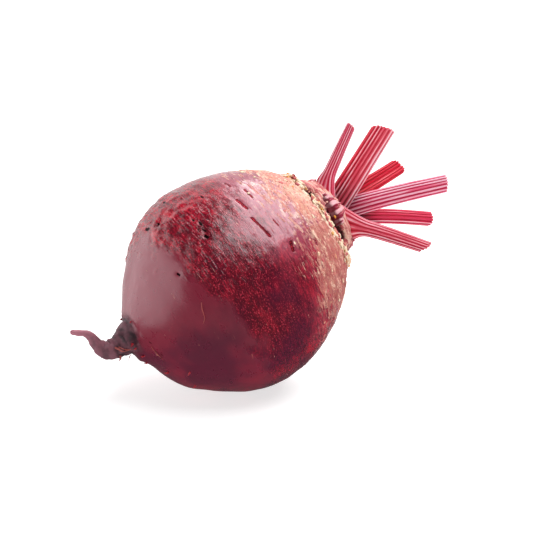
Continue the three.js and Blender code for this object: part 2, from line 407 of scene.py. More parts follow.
# places on the skin as (turn, along): where each mark starts and ends, its half width and its
# depth; the creams are flat and have none, and a knob with a depth below 0 stands out
skinMarks = {
    "scratches": [
        ((39.6, 5.9), (52.9, 7.3), 0.6, 0.75), ((25.2, 6.3), (32.9, 7), 0.55, 0.6),
        ((19.5, 11.9), (27.6, 11.9), 0.42, 0.5), ((77.1, -45.7), (98.7, -44.2), 0.4, 0.25),
        ((46, 12.6), (50, 12.9), 0.36, 0.35), ((8, 8.5), (13, 8.8), 0.4, 0.4),
        ((61.5, 13.2), (66, 12.2), 0.7, 0.8), ((150, 4), (163, 5.2), 0.6, 0.6),
        ((236, 9), (246, 8.2), 0.6, 0.6), ((310, 2), (318, 3.1), 0.55, 0.5),
    ],
    "pits": [
        ((34.8, -12.3), (36, -12), 0.8, 0.9), ((30.6, -11.7), (32.4, -11.3), 0.5, 0.7),
        ((26, -10.7), (27.6, -10.8), 0.6, 0.7), ((21.6, -11.8), (23, -11.8), 0.6, 0.7),
        ((29, -12.8), (29.6, -12.8), 0.35, 0.5), ((-5, -24.3), (-2.6, -24.1), 1, 0.7),
        ((3, -21), (3.6, -20.8), 0.6, 0.5), ((11, -3), (12.2, -2.8), 0.55, 0.5),
        ((-8, -13), (-6, -13.2), 0.6, 0.5), ((40.6, -27.6), (42, -27.4), 0.6, 0.4),
        ((170, -16), (172, -15.7), 0.8, 0.7), ((172.5, -14.2), (173.5, -14.1), 0.5, 0.6),
        ((262, -9), (264, -9.3), 0.8, 0.7),
    ],
    "holes": [
        ((30, 35), (36, 35.9), 1.9, 3), ((22.5, 36.6), (27.5, 38.2), 1.5, 2.6),
        ((14.5, 34.4), (18, 34.8), 0.7, 1.6), ((6, 34.2), (8, 34.4), 0.6, 1.4),
        ((274, 40.4), (280, 40.2), 0.9, 1.3),
    ],
    "cavities": [
        ((60, 39), (76, 39.2), 1.3, 2.4), ((80, 39), (99, 39.6), 1.9, 2.8),
        ((150, 40.2), (160, 40.2), 1, 1.3), ((238, 40.2), (250, 40.4), 1.1, 1.5),
    ],
    "creams": [
        ((-8, 12), (13, 13), 0.7), ((-3, 10.8), (5, 11), 0.4), ((17, 14.8), (27, 15.4), 0.7),
        ((29, 15.8), (36, 16.4), 1), ((33, 12.9), (37, 12.7), 0.4), ((40, 20.2), (48, 20.2), 1.1),
        ((49, 18.7), (60, 20.2), 1), ((44, 15.4), (50, 15.9), 0.5), ((20, 19), (34, 19.6), 0.8),
        ((62, 16.2), (69, 15.8), 0.7), ((-30, 12), (-18, 12.6), 0.7),
        ((200, 14), (214, 14.8), 0.9),
    ],
    "knobs": [
        ((75.4, -51.8), (75.4, -52.8), 1.7, -0.9), ((58, -49.2), (64, -49.4), 1, 0.8),
        ((80, -49.4), (88, -50.2), 1.1, 0.9), ((62, -54.6), (78, -54.8), 0.8, 0.6),
        ((38, -51), (50, -50.4), 0.9, 0.5),
    ],
}  # fmt: skip


def circleAt(turn, reach):
    # cosine and sine of the turn times the cylinder's radius, and the reach along it
    radius = rootSkin["patternRadius"]
    return np.stack([radius * np.cos(turn), radius * np.sin(turn), reach], -1)


def awayFrom(turn, reach, radius, mark):
    # distance on the skin from the straight stretch between a mark's two ends
    (startTurn, startAlong), (endTurn, endAlong) = mark[:2]
    startReach, endReach = reachOf(startAlong), reachOf(endAlong)
    round0 = (turn - np.radians(startTurn) + np.pi) % (2 * np.pi) - np.pi
    x, y = radius * round0, reach - startReach
    dx, dy = radius * np.radians(endTurn - startTurn), endReach - startReach
    t = np.clip((x * dx + y * dy) / (dx**2 + dy**2 + 1e-9), 0, 1)
    return np.hypot(x - t * dx, y - t * dy)


def markShare(turn, reach, radius, kind, rough):
    # the strongest mark of a kind at each point as a share, and its depth in millimetres
    share, depth = np.zeros_like(radius), np.zeros_like(radius)
    for mark in skinMarks[kind]:
        near = awayFrom(turn, reach, radius, mark)
        strength = bell(near * (1 + rough), 0, mark[2])
        share = np.maximum(share, strength)
        depth = depth + mark[3] * strength
    return share, depth


def makeRootSkin(material):
    # rings closer together at the crown and on the taproot, each a round of equal turns
    density = np.interp(stationTable[1:, 0], rootSkin["ringPlaces"], rootSkin["ringDensities"])
    spaced = np.concatenate([[0], np.cumsum(stepTable * density)])
    u = np.interp(np.linspace(spaced[-1], 0, rootSkin["rings"]), spaced, uTable)
    turn = np.linspace(0, 2 * np.pi, rootSkin["sides"], endpoint=False)
    u, turn = np.meshgrid(u, turn, indexing="ij")
    station = outlineAt(u)
    along, radius = station[..., 0], station[..., 2]
    reach = np.interp(u, uTable, reachTable)
    circle = circleAt(turn, reach)
    solidPlace = rootPoint(turn, u, 0)

    def streaky(longWay, wide, seed, octaves=3):
        return softNoise(circle / np.array([longWay, longWay, wide]), seed, octaves)

    drift = softNoise(solidPlace / 14, 5, 3)  # slow unevenness that breaks up every border
    patch = streaky(9, 4, 21)
    crown = smooth(along, 29, 32)
    low = -9 * np.cos(turn + 0.5)  # the smooth end reaches further up on the underside
    waxed = 1 - smooth(along + 5 * drift + 3.5 * patch - low, -26, -20)
    # the shoulder reaches further towards the small end on the upper front, under the painted sheen
    shoulder = smooth(along + 5 * drift + 4 * bell(turn, 0.6, 0.6), 2, 14)
    lowCork = 9 * bell(turn, 1.6, 0.38) - 2.5 * np.cos(turn - 1.2)  # lower down in front
    corky = smooth(along + 4 * drift + 3 * patch + lowCork, 8, 32)
    flakes = smooth(streaky(2.6, 1.0, 7), 0.25, 0.5)
    islands = flakes * smooth(along + 6 * drift + 6 * patch - 4 * low / 9, 7, 24)
    crest = crown * bell(radius, rimRadius(turn) + 0.5, 2.0)
    ditch = crown * bell(radius, rimRadius(turn) - furrow["inside"] - 0.3, 1.5)
    heart = crown * (1 - smooth(radius, rimRadius(turn) - 3.4, rimRadius(turn) - 1.6))
    further = 3 * np.maximum(np.cos(turn - 2.0), 0)
    tail = 1 - smooth(along + further + 1.6 * waves(turn, 0, 5, 9, 8), -48.5, -45)

    rough = (1 - 0.9 * waxed) * (1 - tail)
    streaks = rootSkin["streakHeight"] * rough * (1 - 0.5 * shoulder)
    relief = rootRelief(turn, along, radius)
    relief = relief + streaks * streaky(rootSkin["streakLong"], rootSkin["streakWide"], 11)
    # the back and the top of the small end are pebbled
    pebbled = smooth(-along, -6, 14) * smooth(np.cos(turn + 0.7), -0.1, 0.75)
    pebble = softNoise(solidPlace / rootSkin["pebbleSize"], 12, 3)
    pebbled = rootSkin["pebbleHeight"] * rough * (0.25 + pebbled) * (1 - 0.7 * shoulder)
    relief = relief + pebbled * pebble
    corkCells = np.abs(streaky(2.4, rootSkin["corkSize"], 13))
    relief = relief + rootSkin["corkHeight"] * corky * (1 - heart) * (0.5 - 1.5 * corkCells)
    relief = relief + rootSkin["islandHeight"] * islands * (1 - corky)
    crustCells = softNoise(solidPlace / rootSkin["crustSize"], 14, 3)
    gap = bell(turn, rim["gapTurn"], rim["gapWide"])
    crusted = crest * (1 - 0.5 * gap) + 0.45 * ditch
    relief = relief + rootSkin["crustHeight"] * crusted * crustCells
    relief = relief + 0.2 * heart * streaky(16, 0.8, 22, 2) * smooth(radius, 6, 12)
    tailFolds = streaky(30, 1.5, 15) + 0.6 * softNoise(solidPlace / 2.4, 17, 2)
    folded = rootSkin["foldHeight"] * np.sqrt(radius) * tail * (1 - smooth(radius, 8, 16))
    relief = relief + folded * tailFolds

    ragged = 0.45 * softNoise(solidPlace / 0.9, 16, 2)
    marks = {}
    for kind, strength in rootSkin["markStrengths"].items():
        marks[kind] = markShare(turn, reach, radius, kind, ragged)
        relief = relief - strength * marks[kind][1]

    points = toModel(rootPoint(turn, u, relief))
    points[..., 2] = np.maximum(points[..., 2], 0)
    masks = {
        "circle": circle,
        "waxed": waxed,
        "shoulder": shoulder,
        "cork": np.clip(corky, 0, 1),
        "islands": islands,
        "crust": np.clip(crest + 0.5 * ditch * smooth(crustCells, 0, 0.5), 0, 1),
        "ditch": np.clip(ditch * smooth(-crustCells + 0.8 * gap, -0.15, 0.3), 0, 1),
        "heart": heart,
        "tail": tail,
        "folds": 0.5 + 0.5 * tailFolds,
        "tailEnd": 0.25 * smooth(-along, 54, 58) + 0.75 * smooth(-along, 60, 65),
        "pit": np.clip(0.8 * tail * np.maximum(marks["knobs"][1], 0), 0, 1),
        "hole": marks["holes"][0],
        "cavity": marks["cavities"][0],
        # a dull lilac bloom and a painted sheen, strongest on the upper side of the shoulder
        "bloomAndSheen": shoulder * (1 - 0.75 * smooth(-np.cos(turn), -0.6, -0.2)),
        # where the crown's middle among the stalks' feet is darkened as painted shade
        "heartMiddle": crown * (1 - smooth(radius, 7, 13)),
        "lowBand": smooth(np.cos(turn - 1.3), 0.5, 0.95) * (1 - smooth(along, 0, 12)),
        "rosy": smooth(np.cos(turn - 1.9), 0.3, 0.8) + 0.35 * smooth(drift, 0, 0.5),
        "purple": smooth(np.cos(turn - 2.6) + 0.4 * drift, -0.1, 0.7),
    }
    mesh = skinRings("rootSkin", points, masks)
    return showPiece(mesh, material, "root")


skinFinish = {
    "darkCrimson": ink(86, 6, 26),
    "wine": ink(132, 8, 34),
    "brightStreak": ink(196, 16, 44),
    "fleckAndGlint": ink(226, 64, 84),
    "waxedSkin": ink(134, 22, 50),
    "purple": ink(74, 12, 42),
    "lilacBloomAndSheen": ink(158, 80, 100),
    "shoulderPink": ink(196, 84, 92),
    "cream": ink(246, 212, 184),
    "tan": ink(212, 142, 126),
    "peach": ink(232, 176, 138),
    "crevice": ink(160, 46, 60),
    "dash": ink(150, 16, 40),
    "corkDash": ink(206, 84, 66),
    "rosy": ink(174, 88, 76),
    "crumb": ink(250, 228, 202),
    "ochre": ink(226, 160, 70),
    "hollow": ink(26, 8, 12),
    "recessShadeRed": ink(96, 8, 26),
    "cavity": ink(70, 4, 14),
    "heartRed": ink(190, 74, 82),
    "heartPale": ink(242, 198, 178),
    "tailBrown": ink(108, 60, 72),
    "tailDark": ink(54, 28, 38),
    "tailPink": ink(186, 112, 128),
    "scratchRed": ink(84, 4, 18),
    "fleckPink": ink(222, 40, 64),
    "roughness": 0.13,
    "waxedRoughness": 0.3,
    "corkRoughness": 0.6,
    "specular": 0.85,
    "sheenTint": (1.0, 0.86, 0.9, 1.0),
}


def drawMarks(paint, place, kind, narrow, soft):
    # 1 within each mark of a kind and 0 outside its soft border
    total = None
    for start, end, half, *_ in skinMarks[kind]:
        ends = [circleAt(np.radians(turn), reachOf(along)).tolist() for turn, along in (start, end)]
        near = paint.awayFrom(place, *ends)
        share = 1 - paint.step(near, half * narrow, half * narrow * soft)
        total = share if total is None else paint.maths("MAXIMUM", total, share)
    return total


def makeSkinPaint():
    look = skinFinish
    paint = Paint("beetSkin")
    circle = paint.vector("circle")
    place = paint.objectPlace()
    waxed, shoulder, cork = paint.mask("waxed"), paint.mask("shoulder"), paint.mask("cork")
    crust, heart, tail = paint.mask("crust"), paint.mask("heart"), paint.mask("tail")
    slow = paint.noise(place, 60, 2, 0.5)
    patchy = paint.streaks(circle, 0.12, 0.3, 3, 0.6, 0.3)
    streak = paint.streaks(circle, 0.34, 1.15, 4, 0.65, 0.4)
    fineStreak = paint.streaks(circle, 0.7, 2.6, 3, 0.6, 0.3)
    dots = paint.streaks(circle, 1.5, 3.0, 2, 0.5)
    pebble = paint.noise(place, 900, 2, 0.55)
    grain = paint.noise(place, 2400, 2, 0.6)

    depth = streak * 0.42 + patchy * 0.3 + fineStreak * 0.28 - paint.mask("lowBand") * 0.07 + 0.006
    paint.colour = paint.mix(paint.step(depth, 0.4, 0.52), look["darkCrimson"], look["wine"])
    bright = paint.step(depth, 0.49, 0.6) * (1 - waxed * 0.9)
    paint.coat(bright * 0.9, look["brightStreak"])
    # partly bright flecks of the skin, partly painted glints, more of them on the lower front of
    # the band
    flecksAndGlints = paint.step(dots + (streak - 0.5) * 0.3, 0.57, 0.66) * (1 - waxed)
    paint.coat(flecksAndGlints * (0.45 + 0.3 * paint.mask("lowBand")), look["fleckAndGlint"])
    paint.coat(waxed * 0.85, look["waxedSkin"])
    purple = paint.mask("purple") * (1 - shoulder) * paint.step(slow, 0.3, 0.6)
    paint.coat(purple * 0.75, look["purple"])
    # partly the dull lilac bloom of the skin, partly painted sheen of the light above the shoulder
    bloomAndSheen = paint.mask("bloomAndSheen") * paint.step(streak * 0.3 + patchy * 0.7, 0.3, 0.5)
    paint.coat(bloomAndSheen * 0.92, look["lilacBloomAndSheen"])
    pinks = paint.mask("bloomAndSheen") * paint.step(fineStreak, 0.48, 0.62)
    paint.coat(pinks * 0.5, look["shoulderPink"])
    dashes = paint.streaks(circle, 0.2, 1.9, 3, 0.6, 0.5)
    dashes = paint.step(dashes, 0.58, 0.65) * (1 - waxed)
    paint.coat(dashes * shoulder * 0.7, look["dash"])
    islands = paint.mask("islands") * paint.step(fineStreak + grain * 0.3, 0.5, 0.68)
    paint.coat(islands * 0.8, look["cream"])

    # cork: flakes longer round the root than along it, each of its own tone, some with dark edges
    flakePlace = paint.stretch(circle, (0.42, 0.42, 1.15))
    flakeShift = paint.stretch(paint.noiseVector(circle, 0.6), (1.2, 1.2, 1.2))
    flakePlace = paint.vectorMaths("ADD", [flakePlace, flakeShift])
    flakeTone = paint.cellTone(flakePlace) * 0.9 + (grain - 0.5) * 0.8 + (streak - 0.5) * 0.5
    flakeEdge = paint.cellEdge(flakePlace)
    corkTone = paint.mix(paint.step(flakeTone, 0.25, 0.55), look["tan"], look["cream"])
    corkTone = paint.mix(paint.step(patchy, 0.52, 0.62) * 0.6, corkTone, look["peach"])
    crevices = 1 - paint.step(flakeEdge + pebble * 0.1, 0.05, 0.15)
    crevices = crevices * paint.step(streak + slow, 0.86, 1.06)
    corkTone = paint.mix(crevices * 0.7, corkTone, look["crevice"])
    pinkStreak = paint.step(fineStreak * 0.6 + streak * 0.4, 0.52, 0.62)
    corkTone = paint.mix(pinkStreak * 0.6, corkTone, look["shoulderPink"])
    corkTone = paint.mix(dashes * 0.65, corkTone, look["corkDash"])
    net = paint.cellEdge(paint.stretch(flakePlace, (2.6, 2.6, 2.2)))
    net = (1 - paint.step(net, 0.03, 0.16)) * paint.step(slow + grain * 0.5, 0.6, 0.8)
    corkTone = paint.mix(net * 0.7, corkTone, look["corkDash"])
    rosy = paint.mask("rosy") * paint.step(patchy + (fineStreak - 0.5) * 0.5, 0.34, 0.54)
    rosyTone = paint.mix(paint.step(streak, 0.4, 0.58), look["crevice"], look["rosy"])
    corkTone = paint.mix(rosy * 0.8, corkTone, rosyTone)
    corkTone = paint.mix(paint.step(grain, 0.55, 0.64) * 0.45, corkTone, look["corkDash"])
    corkStreak = paint.streaks(circle, 0.17, 0.85, 4, 0.65, 0.8)
    edgeShare = cork * 0.95 + (corkStreak - 0.5) * 2.4 + (grain - 0.5) * 0.4
    corkShare = paint.step(edgeShare, 0.42, 0.6)
    # the marks' places are shaken by up to 0.45 mm each way, so that their borders are uneven
    shaken = [paint.noiseVector(circle, 1.6), (0.9, 0.9, 0.9), (-0.45, -0.45, -0.45)]
    marked = paint.vectorMaths("ADD", [circle, paint.vectorMaths("MULTIPLY_ADD", shaken)])
    creams = drawMarks(paint, marked, "creams", 0.3, 4.0) + (fineStreak - 0.5) * 2.2
    corkShare = paint.maths("MAXIMUM", corkShare, paint.step(creams, 0.45, 0.75) * 0.8)
    paint.coat(corkShare, corkTone)

    ribs = paint.streaks(circle, 0.09, 1.5, 4, 0.6, 0.6)
    ribs = paint.step(ribs + (slow - 0.5) * 0.5, 0.42, 0.6)
    heartTone = paint.mix(ribs, look["heartRed"], look["heartPale"])
    # painted shade: the crown's middle, among the feet of the stalks, is darkened
    heartTone = paint.mix(paint.mask("heartMiddle") * 0.85, heartTone, look["recessShadeRed"])
    paint.coat(heart * 0.9, heartTone)
    crumbTone = paint.mix(paint.step(slow + grain * 0.3, 0.64, 0.8), look["crumb"], look["ochre"])
    crumbTone = paint.mix(crevices * 0.7, crumbTone, look["crevice"])
    paint.coat(paint.step(crust, 0.35, 0.6) * 0.9, crumbTone)
    # painted shade: the furrow inside the rim is darkened
    paint.coat(paint.mask("ditch") * 0.85, look["recessShadeRed"])

    folds = paint.mask("folds") * 0.75 + (pebble - 0.5) * 0.5
    tailTone = paint.mix(paint.step(folds, 0.1, 0.5), look["tailDark"], look["tailBrown"])
    tailTone = paint.mix(paint.mask("tailEnd") * 0.8, tailTone, look["tailPink"])
    paint.coat(tail, tailTone)

    scratch = drawMarks(paint, marked, "scratches", 0.85, 1.3)
    core = drawMarks(paint, marked, "scratches", 0.2, 2.0)
    pit = drawMarks(paint, marked, "pits", 0.55, 1.6)
    paint.coat(scratch * 0.95, look["scratchRed"])
    flecks = core * paint.step(grain, 0.4, 0.55)
    paint.coat(flecks * 0.8, look["fleckPink"])
    # painted shade: the pits and the holes in the rim are coloured near black, the cavities dark
    # red
    paint.coat(pit, look["hollow"])
    paint.coat(paint.mask("pit") * 0.9, look["tailDark"])
    paint.coat(paint.step(paint.mask("cavity"), 0.25, 0.6), look["cavity"])
    paint.coat(paint.step(paint.mask("hole"), 0.3, 0.6), look["hollow"])

    rough = (1 - waxed * 0.92) * (1 - tail * 0.5)
    matt = scratch + pit + paint.mask("hole") + heart * 0.4 + tail
    roughness = look["roughness"] + (patchy - 0.5) * 0.2
    roughness = roughness + waxed * (look["waxedRoughness"] - look["roughness"])
    roughness = roughness + corkShare * (look["corkRoughness"] - look["roughness"]) + matt * 0.35
    height = streak * 0.5 + fineStreak * 0.4 + dots * 0.14 + pebble * 0.05 - dashes * 0.6
    height = height * rough * (1 - shoulder * 0.6) + grain * 0.02
    height = height + (paint.step(flakeEdge, 0.0, 0.2) * 0.5 + pebble * 0.3) * corkShare
    height = height - scratch * 0.8 + core * 0.7 - pit * 1.4
    normal = paint.bump(height, 0.0006, 0.43)
    # painted shade: a metallic share with the dark colours drops the reflection in the pits, holes,
    # cavities and scratches
    reflectionShade = pit + paint.mask("hole") + paint.mask("cavity") * 0.7 + scratch * 0.9
    return paint.finish(roughness, normal, Metallic=reflectionShade,
                        Specular_IOR_Level=look["specular"], Specular_Tint=look["sheenTint"])


makeRootSkin(makeSkinPaint())
print("root skin made")

# The cut leaf stalks

# outward is the turn that the ribbed side faces, wing and half are half widths of foot and stalk,
# upper narrows the foot on one side, taper is the share of its width that the stalk loses, clasp
# is the radius on which the foot bends and slant is how far the cut leans over half a width; tint
# runs from red to magenta, pale whitens the ribs, side does so on one side only and shade is
# painted shade that darkens the foot, where the stalks crowd together
stalks = [
    {"foot": (5, 40.5, 10.6), "knee": (0.7, 45.4, 12.5), "tip": (-0.1, 66.3, 27.9), "outward": 34,
     "wing": 8.2, "upper": 0.5, "half": 2.9, "taper": 0.5, "thick": 1.7, "clasp": 11, "slant": 0.4,
     "tint": 0.45, "pale": 0.12, "shade": 0},
    {"foot": (10.6, 41, 2), "knee": (14.2, 49, -4), "tip": (23.3, 66.1, -22), "outward": 86,
     "wing": 9.4, "half": 3.1, "taper": 0.34, "thick": 2.2, "clasp": 11, "slant": 1.9,
     "tint": 0.2, "pale": 0.04, "shade": 0},
    {"foot": (4.6, 38.5, 1), "knee": (5, 46, 5), "tip": (-4.1, 79.8, 17.6), "outward": 250,
     "wing": 4.6, "half": 4.35, "taper": 0.14, "thick": 3.2, "clasp": 9, "slant": 1.5,
     "tint": 0.1, "pale": 0.02, "shade": 0.6, "side": 0.3},
    {"foot": (-3.5, 41.5, -1), "knee": (-1.5, 49, 0.6), "tip": (16, 87.6, -7.1), "outward": 62,
     "wing": 4.6, "half": 3.7, "taper": 0.22, "thick": 2.9, "clasp": 9, "slant": 0.4,
     "tint": 0.9, "pale": 0.24, "shade": 0.6},
    {"foot": (-6.5, 41.5, 2), "knee": (-5.5, 52, -1), "tip": (-14.9, 84.2, -4.9), "outward": 243,
     "wing": 4.2, "half": 3.2, "taper": 0.14, "thick": 2.6, "clasp": 8, "slant": 0.8,
     "tint": 0.1, "pale": -0.55, "shade": 1},
    {"foot": (-4, 41.5, -5), "knee": (-3.5, 50, -2.8), "tip": (1.4, 81.4, -24.2), "outward": 110,
     "wing": 4.4, "half": 2.8, "taper": 0.1, "thick": 2.4, "clasp": 9, "slant": 0.3,
     "tint": 0.4, "pale": -0.22, "shade": 1},
]  # fmt: skip

stalkShape = {
    "sides": 216,
    "rings": 96,
    "ribs": 15,
    "ribDepth": 0.075,
    "scallop": 0.3,
    "dome": 0.8,
    "wingFrom": 44,
    "wingTo": 51.5,
    "wingSweep": 2.5,
    "footFrom": 42,
    "footTo": 54,
    "cutScales": (0.975, 0.9, 0.78, 0.6, 0.4, 0.2, 0.05),
    "cutHeights": (0.09, 0.06, -0.05, -0.15, -0.2, -0.25, -0.25),
}


def awayAt(turn):
    # the direction away from the axis at a turn in degrees
    return np.array([np.sin(np.radians(turn)), 0, np.cos(np.radians(turn))])


def ribHeight(angle, ribs, seed):
    # -1 in a furrow and 1 on a ridge: twice the root of the size of a cosine, minus one, with
    # ridges of uneven height and spacing
    phase = 0.5 * ribs * angle + 0.5 * np.sin(2 * angle + seed)
    phase = phase + 0.35 * np.sin(3 * angle + 2 * seed)
    uneven = 1 + 0.3 * np.cos(4 * angle + 3 * seed) * np.sin(angle + seed)
    return (2 * np.abs(np.cos(phase)) ** 0.75 - 1) * uneven


def makeStalk(number, stalk, material):
    # an oval section with ribs and a channel, carried along a quadratic curve whose foot is wide
    shape = stalkShape
    foot, knee, tip = (np.array(stalk[key], float) for key in ("foot", "knee", "tip"))
    t = np.linspace(0, 1, shape["rings"])[:, None, None]
    centre = foot * (1 - t) ** 2 + knee * 2 * t * (1 - t) + tip * t**2
    ahead = (knee - foot) * 2 * (1 - t) + (tip - knee) * 2 * t
    ahead = ahead / np.linalg.norm(ahead, axis=-1, keepdims=True)
    turned = smooth(centre[..., 1:2], shape["footFrom"], shape["footTo"])
    ahead = lerp(np.array([0.0, 1.0, 0.0]), ahead, turned)
    ahead = ahead / np.linalg.norm(ahead, axis=-1, keepdims=True)
    side = across(awayAt(stalk["outward"]), ahead)
    outwards = np.cross(ahead, side)
    angle = np.linspace(0, 2 * np.pi, shape["sides"], endpoint=False)[None, :]
    t = t[..., 0]
    risen = (centre[..., 1] - shape["wingFrom"]) / (shape["wingTo"] - shape["wingFrom"])
    narrowed = 1 - (1 - np.clip(risen, 0, 1)) ** shape["wingSweep"]
    width = lerp(stalk["wing"], stalk["half"] * (1.1 - stalk["taper"] * t), narrowed)
    thick = stalk["thick"] * lerp(0.55, 1.08 - 0.1 * t, narrowed)
    bend = lerp(0.5 / stalk["clasp"], 0.02, narrowed)
    rib = ribHeight(angle, shape["ribs"], number) * np.ones_like(t)
    faded = lerp(0.45, 1, narrowed)
    swell = 1 + shape["ribDepth"] * rib * faded
    lumpy = [3 * np.cos(angle) + 0 * t, 3 * np.sin(angle) + 0 * t, 4 * t + number + 0 * angle]
    swell = swell + 0.012 * softNoise(np.stack(lumpy, -1), 20 + number, 2)
    upper = lerp(stalk.get("upper", 1), 1, narrowed)
    x = width * swell * np.cos(angle) * np.where(np.cos(angle) > 0, upper, 1)
    channel = 0.4 * narrowed * bell(x, 0, 0.5 * width) * (np.sin(angle) < 0)
    y = thick * swell * (1 - channel) * np.sin(angle) - bend * x**2
    rings = centre + x[..., None] * side + y[..., None] * outwards
    lean = stalk["slant"] / width[-1:] * x[-1:] - shape["dome"] * (x[-1:] / width[-1:]) ** 2
    reachBack = smooth(t, 1 - 3.2 / shape["rings"], 1)
    rings = rings + (reachBack * (lean + shape["scallop"] * rib))[..., None] * ahead

    # the cut end: the last ring drawn in towards its middle, a little hollow
    scale = np.array(shape["cutScales"])[:, None, None]
    edge, middle = rings[-1], rings[-1].mean(0)
    sink = np.array(shape["cutHeights"])[:, None, None]
    ragged = 0.1 * softNoise(edge * scale / 0.7, 30 + number, 2)[..., None]
    cap = middle + (edge - middle) * scale + (sink + ragged) * ahead[-1:]
    rings = np.concatenate([rings, cap])
    ones, capOnes = np.ones(rings.shape[:2]), np.ones(cap.shape[:2])
    run = np.concatenate([t, capOnes[:, :1]])
    cut = np.concatenate([0 * t, 1 - scale[:, 0]])
    length = np.linalg.norm(tip - foot)
    masks = {
        "fibre": np.stack([np.cos(angle) * ones, np.sin(angle) * ones, run * length * ones], -1),
        "rib": np.concatenate([rib, rib[-1:] * capOnes]),
        "cut": cut * ones + 0.02 * (cut > 0) * ones,
        "cutEnd": np.concatenate([0 * rib, capOnes]),
        "tint": stalk["tint"] * ones,
        "pale": (stalk["pale"] + stalk.get("side", 0) * np.cos(angle)) * ones,
        # painted shade on the foot, fading out between 17 and 34 mm up the stalk
        "shade": stalk["shade"] * (1 - smooth(run * length, 17, 34)) * ones,
        "edge": np.concatenate([np.abs(np.cos(angle)) * (1 - narrowed), 0 * capOnes]),
    }
    mesh = skinRings(f"stalk{number}", toModel(rings), masks)
    return showPiece(mesh, material, f"leaf_stalk_{number}")


stalkFinish = {
    "furrowRed": ink(172, 2, 22),
    "furrowMagenta": ink(198, 6, 62),
    "midRed": ink(210, 20, 44),
    "midMagenta": ink(236, 56, 116),
    "ridge": ink(248, 190, 200),
    "ridgeMagenta": ink(252, 206, 226),
    "paintedShadeRed": ink(54, 2, 14),
    "footPale": ink(232, 148, 156),
    "ridgePaleAndHighlight": ink(240, 132, 152),
    "core": ink(236, 170, 160),
    "coreDots": ink(196, 40, 66),
    "roughness": 0.36,
    "specular": 0.22,
}


def makeStalkPaint():
    look = stalkFinish
    paint = Paint("beetStalk")
    fibre, tint = paint.vector("fibre"), paint.mask("tint")
    rib, cutEnd = paint.mask("rib"), paint.mask("cutEnd")
    lines = paint.streaks(fibre, 9.0, 0.05, 3, 0.6)
    threads = paint.streaks(fibre, 26.0, 0.12, 2, 0.5)
    blotch = paint.streaks(fibre, 1.2, 0.09, 2, 0.5)
    grain = paint.noise(paint.objectPlace(), 1500, 2, 0.6)

    furrowTone = paint.mix(tint, look["furrowRed"], look["furrowMagenta"])
    midTone = paint.mix(tint, look["midRed"], look["midMagenta"])
    ridgeTone = paint.mix(tint, look["ridge"], look["ridgeMagenta"])
    height = rib * 0.5 + 0.5
    raised = paint.step(height + (lines - 0.5) * 0.9, 0.25, 0.85)
    paint.colour = paint.mix(raised, furrowTone, midTone)
    uneven = (lines - 0.5) * 1.5 + (threads - 0.5) * 0.9 + (blotch - 0.5) * 0.9
    pale = paint.step(height ** 4 * 0.8 + uneven + paint.mask("pale"), 0.55, 0.9)
    # the ridge tops lighter: partly their paler colour, partly a painted highlight
    paint.coat(height ** 2 * (paint.mask("pale") + 0.34), look["ridgePaleAndHighlight"])
    paint.coat(pale * 0.85, ridgeTone)
    thin = paint.step(threads * 0.6 + lines * 0.4, 0.6, 0.68)
    paint.coat(thin * 0.3, ridgeTone)
    paint.coat(paint.mask("edge") ** 3 * 0.75, look["footPale"])
    # painted shade: the foot darkened, most in its furrows, where the stalks stand close together
    paintedShade = paint.mask("shade") * (1.15 - height * 0.55 + (lines - 0.5) * 0.8)
    paint.coat(paint.step(paintedShade, 0, 0.8) * 0.95, look["paintedShadeRed"])
    coreTone = paint.mix(paint.step(grain, 0.5, 0.62), look["core"], look["coreDots"])
    paint.coat(cutEnd * paint.step(paint.mask("cut"), 0.03, 0.12), coreTone)
    height = height * 0.2 + lines * 0.6 + threads * 0.35 + grain * 0.05
    normal = paint.bump(height, 0.0005, 0.6)
    return paint.finish(look["roughness"] + (lines - 0.5) * 0.2, normal,
                        Specular_IOR_Level=look["specular"])


stalkPaint = makeStalkPaint()
for number, stalk in enumerate(stalks, 1):
    makeStalk(number, stalk, stalkPaint)
print("stalks made")

# The torn bases of older leaves, between the stalks and the rim

leafBases = [
    {"turn": -30, "seat": 15.4, "level": 42.8, "half": 5.6, "height": 3.4},
    {"turn": 58, "seat": 17.8, "level": 40.8, "half": 6.2, "height": 3},
    {"turn": 130, "seat": 15.2, "level": 42, "half": 6.6, "height": 1.8},
    {"turn": 186, "seat": 13.6, "level": 44.4, "half": 5.2, "height": 2.2},
    {"turn": 238, "seat": 13.2, "level": 44.7, "half": 6, "height": 3},
    {"turn": 286, "seat": 13.8, "level": 44.2, "half": 5, "height": 2.4},
]
leafBaseShape = {
    "sides": 132,
    "rings": 26,
    "thick": 1.1,
    "depth": 3,
    "ribs": 11,
    "torn": 1.1,
    "edgeScales": (0.85, 0.5, 0.1),  # of the rings that close the torn edge
}


